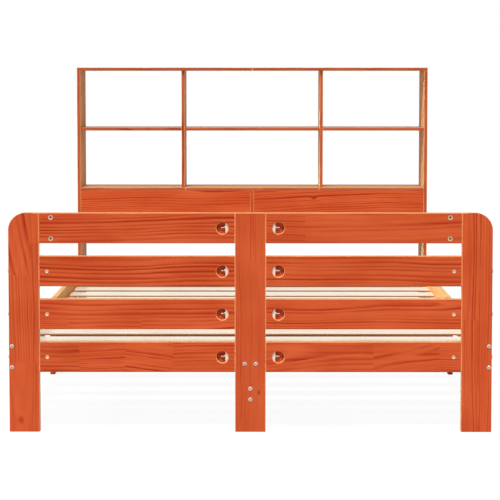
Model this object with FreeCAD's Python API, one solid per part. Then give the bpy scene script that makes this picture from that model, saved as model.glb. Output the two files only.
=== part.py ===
import FreeCAD, Part
import math
import os

# Double bed of eased pine boards, with an open bookcase as its headboard.
# Millimetres. X runs across the bed, Y from the foot to the head, Z up.
# The origin lies on the floor, under the middle of the whole bed.
# Every long run is split into boards that pack short: the footboard rails and
# the bookcase boards at the centre, the side rails at the middle legs.

V = FreeCAD.Vector
ACROSS = V(1, 0, 0)
ALONG = V(0, 1, 0)
UP = V(0, 0, 1)
SIDES = (("left", -1), ("right", 1))

# Overall sizes
bed_width = 1456.0
bed_length = 2260.0
foot_height = 664.0
bookcase_height = 1116.0
bookcase_depth = 230.0

# Board stock
post_width = 92.0
rail_height = 92.0
foot_thick = 20.0
frame_thick = 18.0
panel_thick = 14.0
shelf_thick = 12.0
ease = 2.5
fine_ease = 1.5

# Footboard
rail_count = 4
corner_radius = 53.0

# Bed base
side_top = 274.0
slat_drop = 41.0
slat_count = 11
slat_width = 100.0
slat_thick = 7.0
slat_ease = 2.0
slat_margin = 104.0
slat_end_gap = 5.0
ledge_side = 20.0
ledge_head_gap = 60.0
leg_width = 90.0
leg_set_back = 1035.0
centre_leg_side = 45.0
beam_width = 64.0
beam_height = 38.0
stretcher_height = 64.0
stretcher_mid = 115.0

# Bookcase
low_shelf_top = 617.0
divider_place = 288.0
shelf_joint_place = 278.0
apron_height = 115.0
support_width = 90.0
support_thick = 14.0
inner_set_back = 12.0

# Bolts, rods and barrel nuts
play = 0.15
overrun = 2.0
rod_radius = 3.0
bolt_head_radius = 6.75
bolt_head_rise = 2.6
bolt_head_rim = 0.6
bolt_head_crown = 3.0
bolt_dome_share = 0.68
bolt_tip = 9.0
bolt_inset = 14.0
beam_bolt_inset = 15.5
nut_radius = 6.0
nut_length = 15.0
nut_recess = 0.5
nut_set_back = 23.5

# Pocket joints at the centre post
pocket_radius = 18.0
pocket_ease = 1.2
pocket_depth = 16.0
pocket_set_back = 38.5
crescent_reach = 8.5
crescent_thick = 10.0
centre_rod_radius = 2.5
hex_flats = 8.0
hex_thick = 4.7
rod_tip = 8.5

# Cam locks of the top rails
cam_radius = 7.5
cam_depth = 14.0
cam_recess = 0.5
cam_set_back = 36.0
cam_dowel_bite = 11.0

# Wooden dowels
dowel_radius = 4.0
dowel_length = 36.0
dowel_end_room = 0.5
dowel_inset = 20.0
fine_dowel_radius = 3.0
fine_dowel_length = 20.0
fine_dowel_bite = 8.0
fine_dowel_inset = 35.0

# Screws and the steel corner brackets
screw_radius = 2.0
screw_head_radius = 4.0
screw_head_depth = 2.4
slat_screw_length = 24.0
ledge_screw_length = 34.0
ledge_screw_inset = 75.0
bracket_screw_length = 16.0
panel_screw_length = 50.0
panel_screw_inset = 25.0
bracket_leg = 50.0
bracket_height = 80.0
bracket_thick = 2.5
bracket_screw_inset = 14.0

# Places across the bed
half_width = bed_width / 2
half_post = post_width / 2
post_inner = half_width - post_width
rail_inner = half_width - frame_thick
rail_middle = half_width - frame_thick / 2
panel_inner = half_width - panel_thick
pocket_place = half_post + pocket_set_back
crescent_flat = pocket_place - pocket_radius + crescent_reach
slat_reach = rail_inner - slat_end_gap
divider_outer = divider_place + shelf_thick / 2
divider_inner = divider_place - shelf_thick / 2

# Places along the bed; the bolt heads stand proud of the foot end only
foot_front = (bolt_head_rise - bed_length) / 2
foot_middle = foot_front + foot_thick / 2
foot_back = foot_front + foot_thick
book_back = foot_front + bed_length
book_front = book_back - bookcase_depth
inner_depth = (book_front + inner_set_back, book_back)
leg_front = foot_front + leg_set_back
leg_middle = leg_front + leg_width / 2
leg_back = leg_front + leg_width

# Heights; the lowest foot rail is level with the side rails
side_middle = side_top - rail_height / 2
side_bottom = side_top - rail_height
rail_pitch = (foot_height - side_top) / (rail_count - 1)
rail_middles = [foot_height - rail_height / 2 - i * rail_pitch for i in range(rail_count)]
slat_top = side_top - slat_drop
slat_under = slat_top - slat_thick
beam_under = slat_under - beam_height
beam_middle = slat_under - beam_height / 2
stretcher_top = stretcher_mid + stretcher_height / 2
stretcher_bottom = stretcher_mid - stretcher_height / 2
top_under = bookcase_height - shelf_thick
low_shelf_under = low_shelf_top - shelf_thick
mid_shelf_under = (low_shelf_top + top_under - shelf_thick) / 2
mid_shelf_top = mid_shelf_under + shelf_thick
apron_bottom = low_shelf_under - apron_height

pieces = {}
cuts = {}


def place(node, solid):
    """Adds one physical piece to the node that exports it."""
    pieces.setdefault(node, []).append(solid)


def cut_from(nodes, tool):
    """Notes a hole that goes through the pieces of the named nodes."""
    for node in nodes:
        cuts.setdefault(node, []).append(tool)


def block(x, y, z):
    """A plain block between three pairs of places, given in any order."""
    low = [min(pair) for pair in (x, y, z)]
    high = [max(pair) for pair in (x, y, z)]
    size = [top - bottom for bottom, top in zip(low, high)]
    return Part.makeBox(size[0], size[1], size[2], V(low[0], low[1], low[2]))


def board(x, y, z, radius):
    """A board with every arris rounded over, as planed pine has."""
    solid = block(x, y, z)
    return solid.makeFillet(radius, solid.Edges)


def long_eased(x, y, z, radius):
    """A strip cut to length: only its four long arrises are rounded."""
    solid = block(x, y, z)
    longest = max(edge.Length for edge in solid.Edges)
    return solid.makeFillet(radius, [edge for edge in solid.Edges if longest - edge.Length < radius])


def cylinder(radius, start, direction, length):
    return Part.makeCylinder(radius, length, start, direction)


def bolt(node, seat, inward, length, boards):
    """Round-headed bolt: the head rests on the face at seat, the shank runs inward."""
    arc = Part.Arc(V(bolt_head_radius, 0, bolt_head_rim),
                   V((bolt_head_radius + bolt_head_crown) / 2, 0,
                     bolt_head_rim + (bolt_head_rise - bolt_head_rim) * bolt_dome_share),
                   V(bolt_head_crown, 0, bolt_head_rise)).toShape()
    corners = [V(bolt_head_crown, 0, bolt_head_rise), V(0, 0, bolt_head_rise),
               V(0, 0, -length), V(rod_radius, 0, -length), V(rod_radius, 0, 0),
               V(bolt_head_radius, 0, 0), V(bolt_head_radius, 0, bolt_head_rim)]
    face = Part.Face(Part.Wire([arc] + Part.makePolygon(corners).Edges))
    solid = face.revolve(V(0, 0, 0), UP, 360)
    solid.Placement = FreeCAD.Placement(seat, FreeCAD.Rotation(UP, inward * -1))
    place(node, solid)
    hole = cylinder(rod_radius + play, seat - inward * overrun, inward,
                    length + overrun + dowel_end_room)
    cut_from(boards, hole)


def barrel_nut(mouth, inward, bolt_depth, bolt_direction, board_node, recess=nut_recess):
    """Cross nut sunk from a face at mouth; the bolt crosses it at bolt_depth."""
    body = cylinder(nut_radius, mouth + inward * recess, inward, nut_length)
    crossing = mouth + inward * bolt_depth - bolt_direction * nut_radius * 2
    bore = cylinder(rod_radius + play, crossing, bolt_direction, nut_radius * 4)
    place("barrel_nuts", body.cut(bore))
    hole = cylinder(nut_radius + play, mouth - inward * overrun, inward,
                    overrun + recess + nut_length + play)
    cut_from([board_node], hole)


def dowel(middle, direction, length, radius, boards):
    """Fluted beech peg, plain here, in a hole a little wider and longer."""
    place("wooden_dowels", cylinder(radius, middle - direction * (length / 2), direction, length))
    reach = length / 2 + dowel_end_room
    cut_from(boards, cylinder(radius + play, middle - direction * reach, direction, reach * 2))


def screw_form(seat, inward, length, extra):
    """Countersunk head flush with the face, then a plain shank."""
    head = Part.makeCone(screw_head_radius + extra, screw_radius + extra, screw_head_depth,
                         seat, inward)
    return head.fuse(cylinder(screw_radius + extra, seat, inward, length + extra)).removeSplitter()


def screw(node, seat, inward, length, boards):
    place(node, screw_form(seat, inward, length, 0))
    cut_from(boards, screw_form(seat, inward, length, play))


def outer_post(side):
    """End post of the footboard: its outer top corner is a large quarter round."""
    inner = side * post_inner
    outer = side * half_width
    turn = side * (half_width - corner_radius)
    shoulder = foot_height - corner_radius
    lean = corner_radius * math.sqrt(0.5)
    arc = Part.Arc(V(outer, foot_front, shoulder),
                   V(turn + side * lean, foot_front, shoulder + lean),
                   V(turn, foot_front, foot_height)).toShape()
    corners = [V(turn, foot_front, foot_height), V(inner, foot_front, foot_height),
               V(inner, foot_front, 0), V(outer, foot_front, 0), V(outer, foot_front, shoulder)]
    outline = Part.Wire([arc] + Part.makePolygon(corners).Edges)
    solid = Part.Face(outline).extrude(ALONG * foot_thick)
    return solid.makeFillet(ease, solid.Edges)


def footboard():
    """Three posts and two stacks of rails, drawn together through the centre post."""
    thick = (foot_front, foot_back)
    place("foot_post_centre", board((-half_post, half_post), thick, (0, foot_height), ease))
    for name, side in SIDES:
        post = "foot_post_" + name
        place(post, outer_post(side))
        for number, middle in enumerate(rail_middles, 1):
            rail = "foot_rail_%s_%d" % (name, number)
            height = (middle - rail_height / 2, middle + rail_height / 2)
            place(rail, board((side * half_post, side * post_inner), thick, height, ease))
            pocket_joint(rail, side, middle)
            for edge in (-1, 1):
                pin = V(side * half_post, foot_middle, middle + edge * (rail_height / 2 - dowel_inset))
                dowel(pin, ACROSS, dowel_length, dowel_radius, ["foot_post_centre", rail])
            if number == 1:
                cam_joint(rail, post, side, middle)
            else:
                edge_bolt_joint(rail, post, side, middle)
    for number, middle in enumerate(rail_middles, 1):
        centre_rod(number, middle)


def pocket_joint(rail, side, middle):
    """Blind round pocket, its rim eased, with a half-moon washer and a nut on the centre rod."""
    centre = V(side * pocket_place, foot_middle, middle)
    mouth = V(centre.x, foot_front - overrun, middle)
    cut_from([rail], cylinder(pocket_radius, mouth, ALONG, overrun + pocket_depth))
    cut_from([rail], Part.makeCone(pocket_radius + pocket_ease + overrun, pocket_radius,
                                   pocket_ease + overrun, mouth, ALONG))
    start = V(centre.x, foot_middle - crescent_thick / 2, middle)
    disc = cylinder(pocket_radius - play, start, ALONG, crescent_thick)
    beyond = block((side * crescent_flat, side * (pocket_place + pocket_radius + overrun)),
                   (foot_front, foot_back), (middle - pocket_radius, middle + pocket_radius))
    bore = cylinder(centre_rod_radius + play, V(0, foot_middle, middle), ACROSS * side,
                    pocket_place)
    place("crescent_washers", disc.cut(beyond).cut(bore))
    across_corners = hex_flats / math.cos(math.radians(30))
    ring = [V(side * crescent_flat, foot_middle + across_corners / 2 * math.cos(math.radians(turn)),
              middle + across_corners / 2 * math.sin(math.radians(turn)))
            for turn in range(0, 420, 60)]
    body = Part.Face(Part.makePolygon(ring)).extrude(ACROSS * (side * hex_thick))
    long_bore = cylinder(centre_rod_radius + play, V(0, foot_middle, middle), ACROSS * side,
                         pocket_place + pocket_radius)
    place("tie_rod_nuts", body.cut(long_bore))


def centre_rod(number, middle):
    """One threaded rod per rail level, through the centre post into both pockets."""
    reach = crescent_flat + hex_thick + rod_tip
    start = V(-reach, foot_middle, middle)
    place("tie_rods", cylinder(centre_rod_radius, start, ACROSS, reach * 2))
    boards = ["foot_post_centre", "foot_rail_left_%d" % number, "foot_rail_right_%d" % number]
    cut_from(boards, cylinder(centre_rod_radius + play, start, ACROSS, reach * 2))


def cam_joint(rail, post, side, middle):
    """Two cam locks in the rail's face grip pins that are screwed into the post."""
    for edge in (-1, 1):
        height = middle + edge * (rail_height / 2 - bolt_inset)
        centre = V(side * (post_inner - cam_set_back), foot_front, height)
        pin_start = V(centre.x, foot_middle, height)
        pin_length = cam_set_back + cam_dowel_bite
        body = cylinder(cam_radius, centre + ALONG * cam_recess, ALONG, cam_depth)
        slot = cylinder(rod_radius + play, pin_start, ACROSS * side, pin_length)
        place("cam_locks", body.cut(slot))
        place("cam_pins", cylinder(rod_radius, pin_start, ACROSS * side, pin_length))
        cut_from([rail], cylinder(cam_radius + play, centre - ALONG * overrun, ALONG,
                                  overrun + cam_recess + cam_depth + play))
        cut_from([rail, post], cylinder(rod_radius + play, pin_start, ACROSS * side,
                                        pin_length + dowel_end_room))
    pin = V(side * post_inner, foot_middle, middle)
    dowel(pin, ACROSS, dowel_length, dowel_radius, [rail, post])


def edge_bolt_joint(rail, post, side, middle):
    """A long bolt runs through the post's whole width into a cross nut in the rail."""
    seat = V(side * half_width, foot_middle, middle)
    inward = ACROSS * -side
    bolt("edge_bolts", seat, inward, post_width + nut_set_back + bolt_tip, [rail, post])
    mouth = V(side * (post_inner - nut_set_back), foot_front, middle)
    barrel_nut(mouth, ALONG, foot_thick / 2, ACROSS, rail)
    for edge in (-1, 1):
        pin = V(side * post_inner, foot_middle, middle + edge * (rail_height / 2 - dowel_inset))
        dowel(pin, ACROSS, dowel_length, dowel_radius, [rail, post])


def side_rails():
    """Each side is two rails with a leg between them, all in one plane."""
    height = (side_bottom, side_top)
    for name, side in SIDES:
        thick = (side * rail_inner, side * half_width)
        front = "side_rail_%s_front" % name
        rear = "side_rail_%s_rear" % name
        leg = "middle_leg_" + name
        place(front, board(thick, (foot_back, leg_front), height, ease))
        place(leg, board(thick, (leg_front, leg_back), (0, side_top), ease))
        place(rear, board(thick, (leg_back, book_front), height, ease))
        for edge in (-1, 1):
            level = side_middle + edge * (rail_height / 2 - bolt_inset)
            seat = V(side * rail_middle, foot_front, level)
            bolt("frame_bolts", seat, ALONG, foot_thick + nut_set_back + bolt_tip,
                 ["foot_post_" + name, front])
            side_nut(front, side, foot_back + nut_set_back, level)
            reach = leg_width / 2 + nut_set_back + bolt_tip
            start = V(side * rail_middle, leg_middle - reach, level)
            place("tie_rods", cylinder(rod_radius, start, ALONG, reach * 2))
            cut_from([front, leg, rear], cylinder(rod_radius + play, start - ALONG * dowel_end_room,
                                                  ALONG, (reach + dowel_end_room) * 2))
            side_nut(front, side, leg_front - nut_set_back, level)
            side_nut(rear, side, leg_back + nut_set_back, level)
        corner_bracket(name, side, rear)


def side_nut(rail, side, along, level):
    mouth = V(side * rail_inner, along, level)
    barrel_nut(mouth, ACROSS * side, frame_thick / 2, ALONG, rail)


def corner_bracket(name, side, rail):
    """Steel angle in the head corner: one leg on the side rail, one on the head rail."""
    height = (side_middle - bracket_height / 2, side_middle + bracket_height / 2)
    on_rail = block((side * rail_inner, side * (rail_inner - bracket_thick)),
                    (book_front - bracket_leg, book_front), height)
    on_head = block((side * rail_inner, side * (rail_inner - bracket_leg)),
                    (book_front - bracket_thick, book_front), height)
    place("corner_brackets", on_rail.fuse(on_head).removeSplitter())
    for level in (height[0] + bracket_screw_inset, height[1] - bracket_screw_inset):
        seat = V(side * (rail_inner - bracket_thick), book_front - bracket_leg + bracket_screw_inset,
                 level)
        screw("wood_screws", seat, ACROSS * side, bracket_screw_length, ["corner_brackets", rail])
        seat = V(side * (rail_inner - bracket_leg + bracket_screw_inset), book_front - bracket_thick,
                 level)
        screw("wood_screws", seat, ALONG, bracket_screw_length,
              ["corner_brackets", "head_rail_" + name])


def slat_bed():
    """Ledges along the rails and evenly pitched slats screwed down on them."""
    ledge_height = (slat_under - ledge_side, slat_under)
    ledge_middle = slat_under - ledge_side / 2
    runs = ((foot_back, leg_middle), (leg_middle, book_front - ledge_head_gap))
    for name, side in SIDES:
        thick = (side * rail_inner, side * (rail_inner - ledge_side))
        for run, part in zip(runs, ("front", "rear")):
            place("slat_ledges", long_eased(thick, run, ledge_height, fine_ease))
            rail = "side_rail_%s_%s" % (name, part)
            for along in (run[0] + ledge_screw_inset, run[1] - ledge_screw_inset):
                seat = V(side * (rail_inner - ledge_side), along, ledge_middle)
                screw("wood_screws", seat, ACROSS * side, ledge_screw_length, ["slat_ledges", rail])
    first = foot_back + slat_margin
    pitch = (book_front - slat_margin - slat_width - first) / (slat_count - 1)
    for number in range(slat_count):
        start = first + number * pitch
        place("slats", long_eased((-slat_reach, slat_reach), (start, start + slat_width),
                                  (slat_under, slat_top), slat_ease))
        for side in (-1, 1):
            seat = V(side * (rail_inner - ledge_side / 2), start + slat_width / 2, slat_top)
            screw("wood_screws", seat, UP * -1, slat_screw_length, ["slats", "slat_ledges"])


def centre_frame():
    """Beam and stretcher along the middle, a leg under their joint, rails out to the sides."""
    half_leg = centre_leg_side / 2
    place("centre_leg", board((-half_leg, half_leg), (leg_middle - half_leg, leg_middle + half_leg),
                              (0, beam_under), ease))
    beam_height_run = (beam_under, slat_under)
    beam_across = (-beam_width / 2, beam_width / 2)
    place("centre_beam_front", board(beam_across, (foot_back, leg_middle), beam_height_run, ease))
    place("centre_beam_rear", board(beam_across, (leg_middle, book_front), beam_height_run, ease))
    thick = (-frame_thick / 2, frame_thick / 2)
    tall = (stretcher_bottom, stretcher_top)
    place("stretcher_front", board(thick, (foot_back, leg_middle - half_leg), tall, ease))
    place("stretcher_rear", board(thick, (leg_middle + half_leg, book_front), tall, ease))
    for edge in (-1, 1):
        beam_end_bolts(edge * (beam_width / 2 - beam_bolt_inset))
        stretcher_end_bolts(stretcher_mid + edge * (stretcher_height / 2 - beam_bolt_inset), half_leg)
        part = "centre_beam_front" if edge < 0 else "centre_beam_rear"
        pin = V(0, leg_middle + edge * half_leg / 2, beam_under)
        dowel(pin, UP, dowel_length, dowel_radius, ["centre_leg", part])
    cross_rails(half_leg)


def beam_end_bolts(across):
    """The beam's two ends, bolted through the centre post and through the head rail."""
    reach = nut_set_back + bolt_tip
    bolt("frame_bolts", V(across, foot_front, beam_middle), ALONG, foot_thick + reach,
         ["foot_post_centre", "centre_beam_front"])
    recess = (beam_height - nut_length) / 2
    barrel_nut(V(across, foot_back + nut_set_back, beam_under), UP, beam_height / 2, ALONG,
               "centre_beam_front", recess)
    head_rail = "head_rail_left" if across < 0 else "head_rail_right"
    bolt("frame_bolts", V(across, book_front + frame_thick, beam_middle), ALONG * -1,
         frame_thick + reach, [head_rail, "centre_beam_rear"])
    barrel_nut(V(across, book_front - nut_set_back, beam_under), UP, beam_height / 2, ALONG,
               "centre_beam_rear", recess)


def stretcher_end_bolts(level, half_leg):
    """The stretcher's ends at the centre post and head post, and its rod through the leg."""
    face = -frame_thick / 2
    reach = nut_set_back + bolt_tip
    bolt("frame_bolts", V(0, foot_front, level), ALONG, foot_thick + reach,
         ["foot_post_centre", "stretcher_front"])
    bolt("edge_bolts", V(0, book_front + support_width, level), ALONG * -1,
         support_width + reach, ["head_post_front", "stretcher_rear"])
    start = V(0, leg_middle - half_leg - reach, level)
    place("tie_rods", cylinder(rod_radius, start, ALONG, (half_leg + reach) * 2))
    cut_from(["stretcher_front", "centre_leg", "stretcher_rear"],
             cylinder(rod_radius + play, start - ALONG * dowel_end_room, ALONG,
                      (half_leg + reach + dowel_end_room) * 2))
    for along, part in ((foot_back + nut_set_back, "stretcher_front"),
                        (leg_middle - half_leg - nut_set_back, "stretcher_front"),
                        (leg_middle + half_leg + nut_set_back, "stretcher_rear"),
                        (book_front - nut_set_back, "stretcher_rear")):
        barrel_nut(V(face, along, level), ACROSS, frame_thick / 2, ALONG, part)


def cross_rails(half_leg):
    """Low rails from the centre leg out to both middle legs."""
    thick = (leg_middle - frame_thick / 2, leg_middle + frame_thick / 2)
    tall = (stretcher_bottom, stretcher_top)
    back = leg_middle + frame_thick / 2
    reach = half_leg + nut_set_back + bolt_tip
    start = V(-reach, leg_middle, stretcher_mid)
    place("tie_rods", cylinder(rod_radius, start, ACROSS, reach * 2))
    cut_from(["cross_rail_left", "centre_leg", "cross_rail_right"],
             cylinder(rod_radius + play, start - ACROSS * dowel_end_room, ACROSS,
                      (reach + dowel_end_room) * 2))
    for name, side in SIDES:
        rail = "cross_rail_" + name
        place(rail, board((side * half_leg, side * rail_inner), thick, tall, ease))
        barrel_nut(V(side * (half_leg + nut_set_back), back, stretcher_mid), ALONG * -1,
                   frame_thick / 2, ACROSS, rail)
        for edge in (-1, 1):
            level = stretcher_mid + edge * (stretcher_height / 2 - beam_bolt_inset)
            bolt("frame_bolts", V(side * half_width, leg_middle, level), ACROSS * -side,
                 frame_thick + nut_set_back + bolt_tip, ["middle_leg_" + name, rail])
            barrel_nut(V(side * (rail_inner - nut_set_back), back, level), ALONG * -1,
                       frame_thick / 2, ACROSS, rail)


def bookcase():
    """Two floor-standing sides, six open compartments, and the rails and posts below."""
    depth = (book_front, book_back)
    place("low_shelf_centre", board((-shelf_joint_place, shelf_joint_place), depth,
                                    (low_shelf_under, low_shelf_top), fine_ease))
    place("mid_shelf_centre", board((-divider_inner, divider_inner), inner_depth,
                                    (mid_shelf_under, mid_shelf_top), fine_ease))
    half_thick = support_thick / 2
    place("head_post_front", board((-half_thick, half_thick),
                                   (book_front, book_front + support_width),
                                   (0, low_shelf_under), ease))
    place("head_post_back", board((-half_thick, half_thick), (book_back - support_width, book_back),
                                  (0, low_shelf_under), ease))
    for name, side in SIDES:
        bookcase_half(name, side, depth, half_thick)
    head_rail_pins()
    for along in shelf_pin_rows():
        dowel(V(0, along, bookcase_height - shelf_thick / 2), ACROSS, fine_dowel_length,
              fine_dowel_radius, ["top_board_left", "top_board_right"])


def shelf_pin_rows():
    return (book_front + fine_dowel_inset, book_back - fine_dowel_inset)


def bookcase_half(name, side, depth, half_thick):
    """One side panel, one divider and the boards between the panel and the centre."""
    panel = "bookcase_side_" + name
    divider = "divider_" + name
    low = "low_shelf_" + name
    mid = "mid_shelf_" + name
    top = "top_board_" + name
    head = (book_front, book_front + frame_thick)
    rear = (book_back - frame_thick, book_back)
    place(panel, board((side * panel_inner, side * half_width), depth, (0, top_under), ease))
    place(divider, board((side * divider_inner, side * divider_outer), inner_depth,
                         (low_shelf_top, top_under), fine_ease))
    place(low, board((side * shelf_joint_place, side * panel_inner), depth,
                     (low_shelf_under, low_shelf_top), fine_ease))
    place(mid, board((side * divider_outer, side * panel_inner), inner_depth,
                     (mid_shelf_under, mid_shelf_top), fine_ease))
    place(top, board((0, side * half_width), depth, (top_under, bookcase_height), fine_ease))
    between = (side * half_thick, side * panel_inner)
    apron_run = (apron_bottom, low_shelf_under)
    place("apron_front_" + name, board(between, head, apron_run, ease))
    place("apron_back_" + name, board(between, rear, apron_run, ease))
    place("head_rail_" + name, board(between, head, (side_bottom, side_top), ease))
    panel_screws(name, side, panel, low, mid)
    for along in shelf_pin_rows():
        vertical_pin(side * (half_width - panel_thick / 2), along, top_under, [panel, top])
        vertical_pin(side * divider_place, along, top_under, [divider, top])
        vertical_pin(side * divider_place, along, low_shelf_top, [divider, low], -1)
        dowel(V(side * divider_place, along, mid_shelf_under + shelf_thick / 2), ACROSS,
              dowel_length, fine_dowel_radius, [divider, mid, "mid_shelf_centre"])
    joint_along = (book_front + book_back) / 2
    dowel(V(side * shelf_joint_place, joint_along, low_shelf_under + shelf_thick / 2), ACROSS,
          fine_dowel_length, fine_dowel_radius, [low, "low_shelf_centre"])


def vertical_pin(across, along, joint, boards, board_way=1):
    """Thin peg that enters the thin shelf by a short bite and the upright by the rest."""
    shift = board_way * (fine_dowel_bite - fine_dowel_length / 2)
    dowel(V(across, along, joint + shift), UP, fine_dowel_length, fine_dowel_radius, boards)


def panel_screws(name, side, panel, low, mid):
    """Long screws through the side panel into every board end that meets it."""
    inward = ACROSS * -side
    shelf_rows = (book_front + panel_screw_inset, book_back - panel_screw_inset)
    rows = [(along, low_shelf_under + shelf_thick / 2, low) for along in shelf_rows]
    rows += [(along, mid_shelf_under + shelf_thick / 2, mid) for along in shelf_rows]
    front_line = book_front + frame_thick / 2
    back_line = book_back - frame_thick / 2
    for edge in (-1, 1):
        apron_level = low_shelf_under - apron_height / 2 + edge * (apron_height / 2 - panel_screw_inset)
        rail_level = side_middle + edge * (rail_height / 2 - panel_screw_inset)
        rows.append((front_line, apron_level, "apron_front_" + name))
        rows.append((back_line, apron_level, "apron_back_" + name))
        rows.append((front_line, rail_level, "head_rail_" + name))
    for along, level, target in rows:
        screw("panel_screws", V(side * half_width, along, level), inward, panel_screw_length,
              [panel, target])


def head_rail_pins():
    """Pegs through the head posts that line up the boards on either side."""
    front_line = book_front + frame_thick / 2
    back_line = book_back - frame_thick / 2
    length = dowel_length + support_thick
    for edge in (-1, 1):
        level = low_shelf_under - apron_height / 2 + edge * (apron_height / 2 - panel_screw_inset)
        dowel(V(0, front_line, level), ACROSS, length, dowel_radius,
              ["head_post_front", "apron_front_left", "apron_front_right"])
        dowel(V(0, back_line, level), ACROSS, length, dowel_radius,
              ["head_post_back", "apron_back_left", "apron_back_right"])
    dowel(V(0, front_line, side_top - dowel_inset), ACROSS, length, dowel_radius,
          ["head_post_front", "head_rail_left", "head_rail_right"])


def export():
    """Drills every piece with the holes noted for its node and writes the node."""
    os.makedirs("parts", exist_ok=True)
    for node, solids in pieces.items():
        finished = []
        for solid in solids:
            tools = [tool for tool in cuts.get(node, []) if tool.BoundBox.intersect(solid.BoundBox)]
            drilled = solid.cut(tools) if tools else solid
            finished.extend(drilled.Solids)
        shape = finished[0] if len(finished) == 1 else Part.makeCompound(finished)
        shape.exportStep("parts/%s.step" % node)


footboard()
side_rails()
slat_bed()
centre_frame()
bookcase()
export()
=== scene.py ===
import math

import bpy
import numpy as np
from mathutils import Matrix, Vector


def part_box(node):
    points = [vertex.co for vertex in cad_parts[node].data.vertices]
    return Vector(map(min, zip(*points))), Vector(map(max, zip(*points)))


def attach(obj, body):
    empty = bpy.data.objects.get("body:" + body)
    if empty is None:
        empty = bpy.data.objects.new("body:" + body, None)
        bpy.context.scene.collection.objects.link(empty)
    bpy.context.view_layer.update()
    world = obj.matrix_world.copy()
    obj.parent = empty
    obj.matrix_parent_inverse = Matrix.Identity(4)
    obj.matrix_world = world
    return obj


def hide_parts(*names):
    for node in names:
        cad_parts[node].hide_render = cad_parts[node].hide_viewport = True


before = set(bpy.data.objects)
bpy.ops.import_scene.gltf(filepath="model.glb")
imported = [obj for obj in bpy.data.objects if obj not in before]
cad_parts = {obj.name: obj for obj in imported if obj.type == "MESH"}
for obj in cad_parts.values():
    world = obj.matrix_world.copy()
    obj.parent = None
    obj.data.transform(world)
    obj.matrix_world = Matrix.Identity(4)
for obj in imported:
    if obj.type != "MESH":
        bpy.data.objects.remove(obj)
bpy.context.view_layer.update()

# Sizes of the bed, in metres, as its source gives them
HALF_WIDTH = 0.728
FOOT_FRONT = -1.1287
FOOT_BACK = -1.1087
FOOT_MIDDLE = -1.1187
FOOT_THICK = 0.020
FRAME_THICK = 0.018
POST_WIDTH = 0.092
POST_INNER = 0.636
RAIL_INNER = 0.710
RAIL_MIDDLE = 0.719
LEG_FRONT = -0.0937
LEG_MIDDLE = -0.0487
LEG_BACK = -0.0037
HALF_LEG = 0.045
HALF_CENTRE_LEG = 0.0225
BOOK_FRONT = 0.9013
BOOK_BACK = 1.1313
HEAD_POST_DEPTH = 0.090
RAIL_HEIGHTS = (0.618, 0.488, 0.358, 0.228)
SIDE_LEVELS = (0.260, 0.196)
SIDE_MIDDLE = 0.228
BEAM_LEVEL = 0.207
BEAM_BOTTOM = 0.188
BEAM_HEIGHT = 0.038
BEAM_BOLTS = (-0.0165, 0.0165)
STRETCHER_LEVELS = (0.1315, 0.0985)
STRETCHER_MIDDLE = 0.115
SLAT_TOP = 0.233
SLAT_FIRST = -1.0047
SLAT_PITCH = 0.1702
SLAT_WIDTH = 0.100
SLAT_COUNT = 11
LEDGE_WIDTH = 0.020
LEDGE_LEVEL = 0.216
LEDGE_END_GAP = 0.060
LOW_SHELF_LEVEL = 0.611
MID_SHELF_LEVEL = 0.8605
APRON_MIDDLE = 0.5475
BRACKET_THICK = 0.0025
POCKET_MIDDLE = 0.0845
INNER_END = 0.6
SIDES = (("left", -1), ("right", 1))

# Hardware sizes
ROD_RADIUS = 0.003
NUT_RADIUS = 0.006
NUT_LENGTH = 0.015
NUT_RECESS = 0.0005
NUT_SET_BACK = 0.0235
BOLT_TIP = 0.009
CAM_RADIUS = 0.0075
CAM_DEPTH = 0.014
CAM_RECESS = 0.0005
CAM_SET_BACK = 0.036
CAM_RISE = 0.032
CAM_POINTS = 48
CAM_DRIVE = (0.0009, 0.0017, 0.0025, 0.0033, 0.0041)
CRESCENT_FLAT = 0.075
HEX_FLATS = 0.008
HEX_THICK = 0.0047
CENTRE_ROD_RADIUS = 0.0025
CENTRE_ROD_TIP = 0.0085
SCREW_RADIUS = 0.002
SCREW_HEAD = 0.004
SCREW_HEAD_DEPTH = 0.0024
PANEL_SCREW = 0.050
SLAT_SCREW = 0.024
LEDGE_SCREW = 0.034
LEDGE_SCREW_INSET = 0.075
BRACKET_SCREW = 0.016
BRACKET_SCREW_OUT = 0.036
BRACKET_SCREW_LEVELS = (0.202, 0.254)
SHELF_SCREW_INSET = 0.025
APRON_SCREW_STEP = 0.0325
RAIL_SCREW_STEP = 0.021

# Figure of the wood: where a strip's first length starts, its finger joints, how far the heart
# wanders across and deep, and how uneven the rings and the years are
START = -9.0
FINGER_WIDTH = 0.004
FINGER_LENGTH = 0.008
HEART_BEND = 0.05
HEART_DIP = 0.04
RING_RIPPLE = 0.0065
YEAR_UNEVEN = 0.016

# How dark the wood is from one year's start to its end: place in the year, darkness
YEAR = ((0.0, 0.35), (0.10, 0.0), (0.42, 0.08), (0.72, 0.8), (0.84, 1.0), (0.93, 0.9),
        (1.0, 0.35))

# Painted highlight on a pocket's rim, edge of the painted light on its lower ground, and half of
# the pale line of scuffing and painted highlight at a board's end
RIM_INNER = 0.0176
RIM_OUTER = 0.0196
GROUND_EDGE = 0.0178
JOINT_PALE = 0.0016


def ink(red, green, blue):
    """A colour written as 0 to 255 on the screen, as the shader's linear values."""
    steps = np.array((red, green, blue)) / 255
    linear = np.where(steps <= 0.04045, steps / 12.92, ((steps + 0.055) / 1.055) ** 2.4)
    return (*linear.tolist(), 1.0)


def shade(colour, amount):
    """The same colour, brighter or darker."""
    return (*(part * amount for part in colour[:3]), 1.0)
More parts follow.
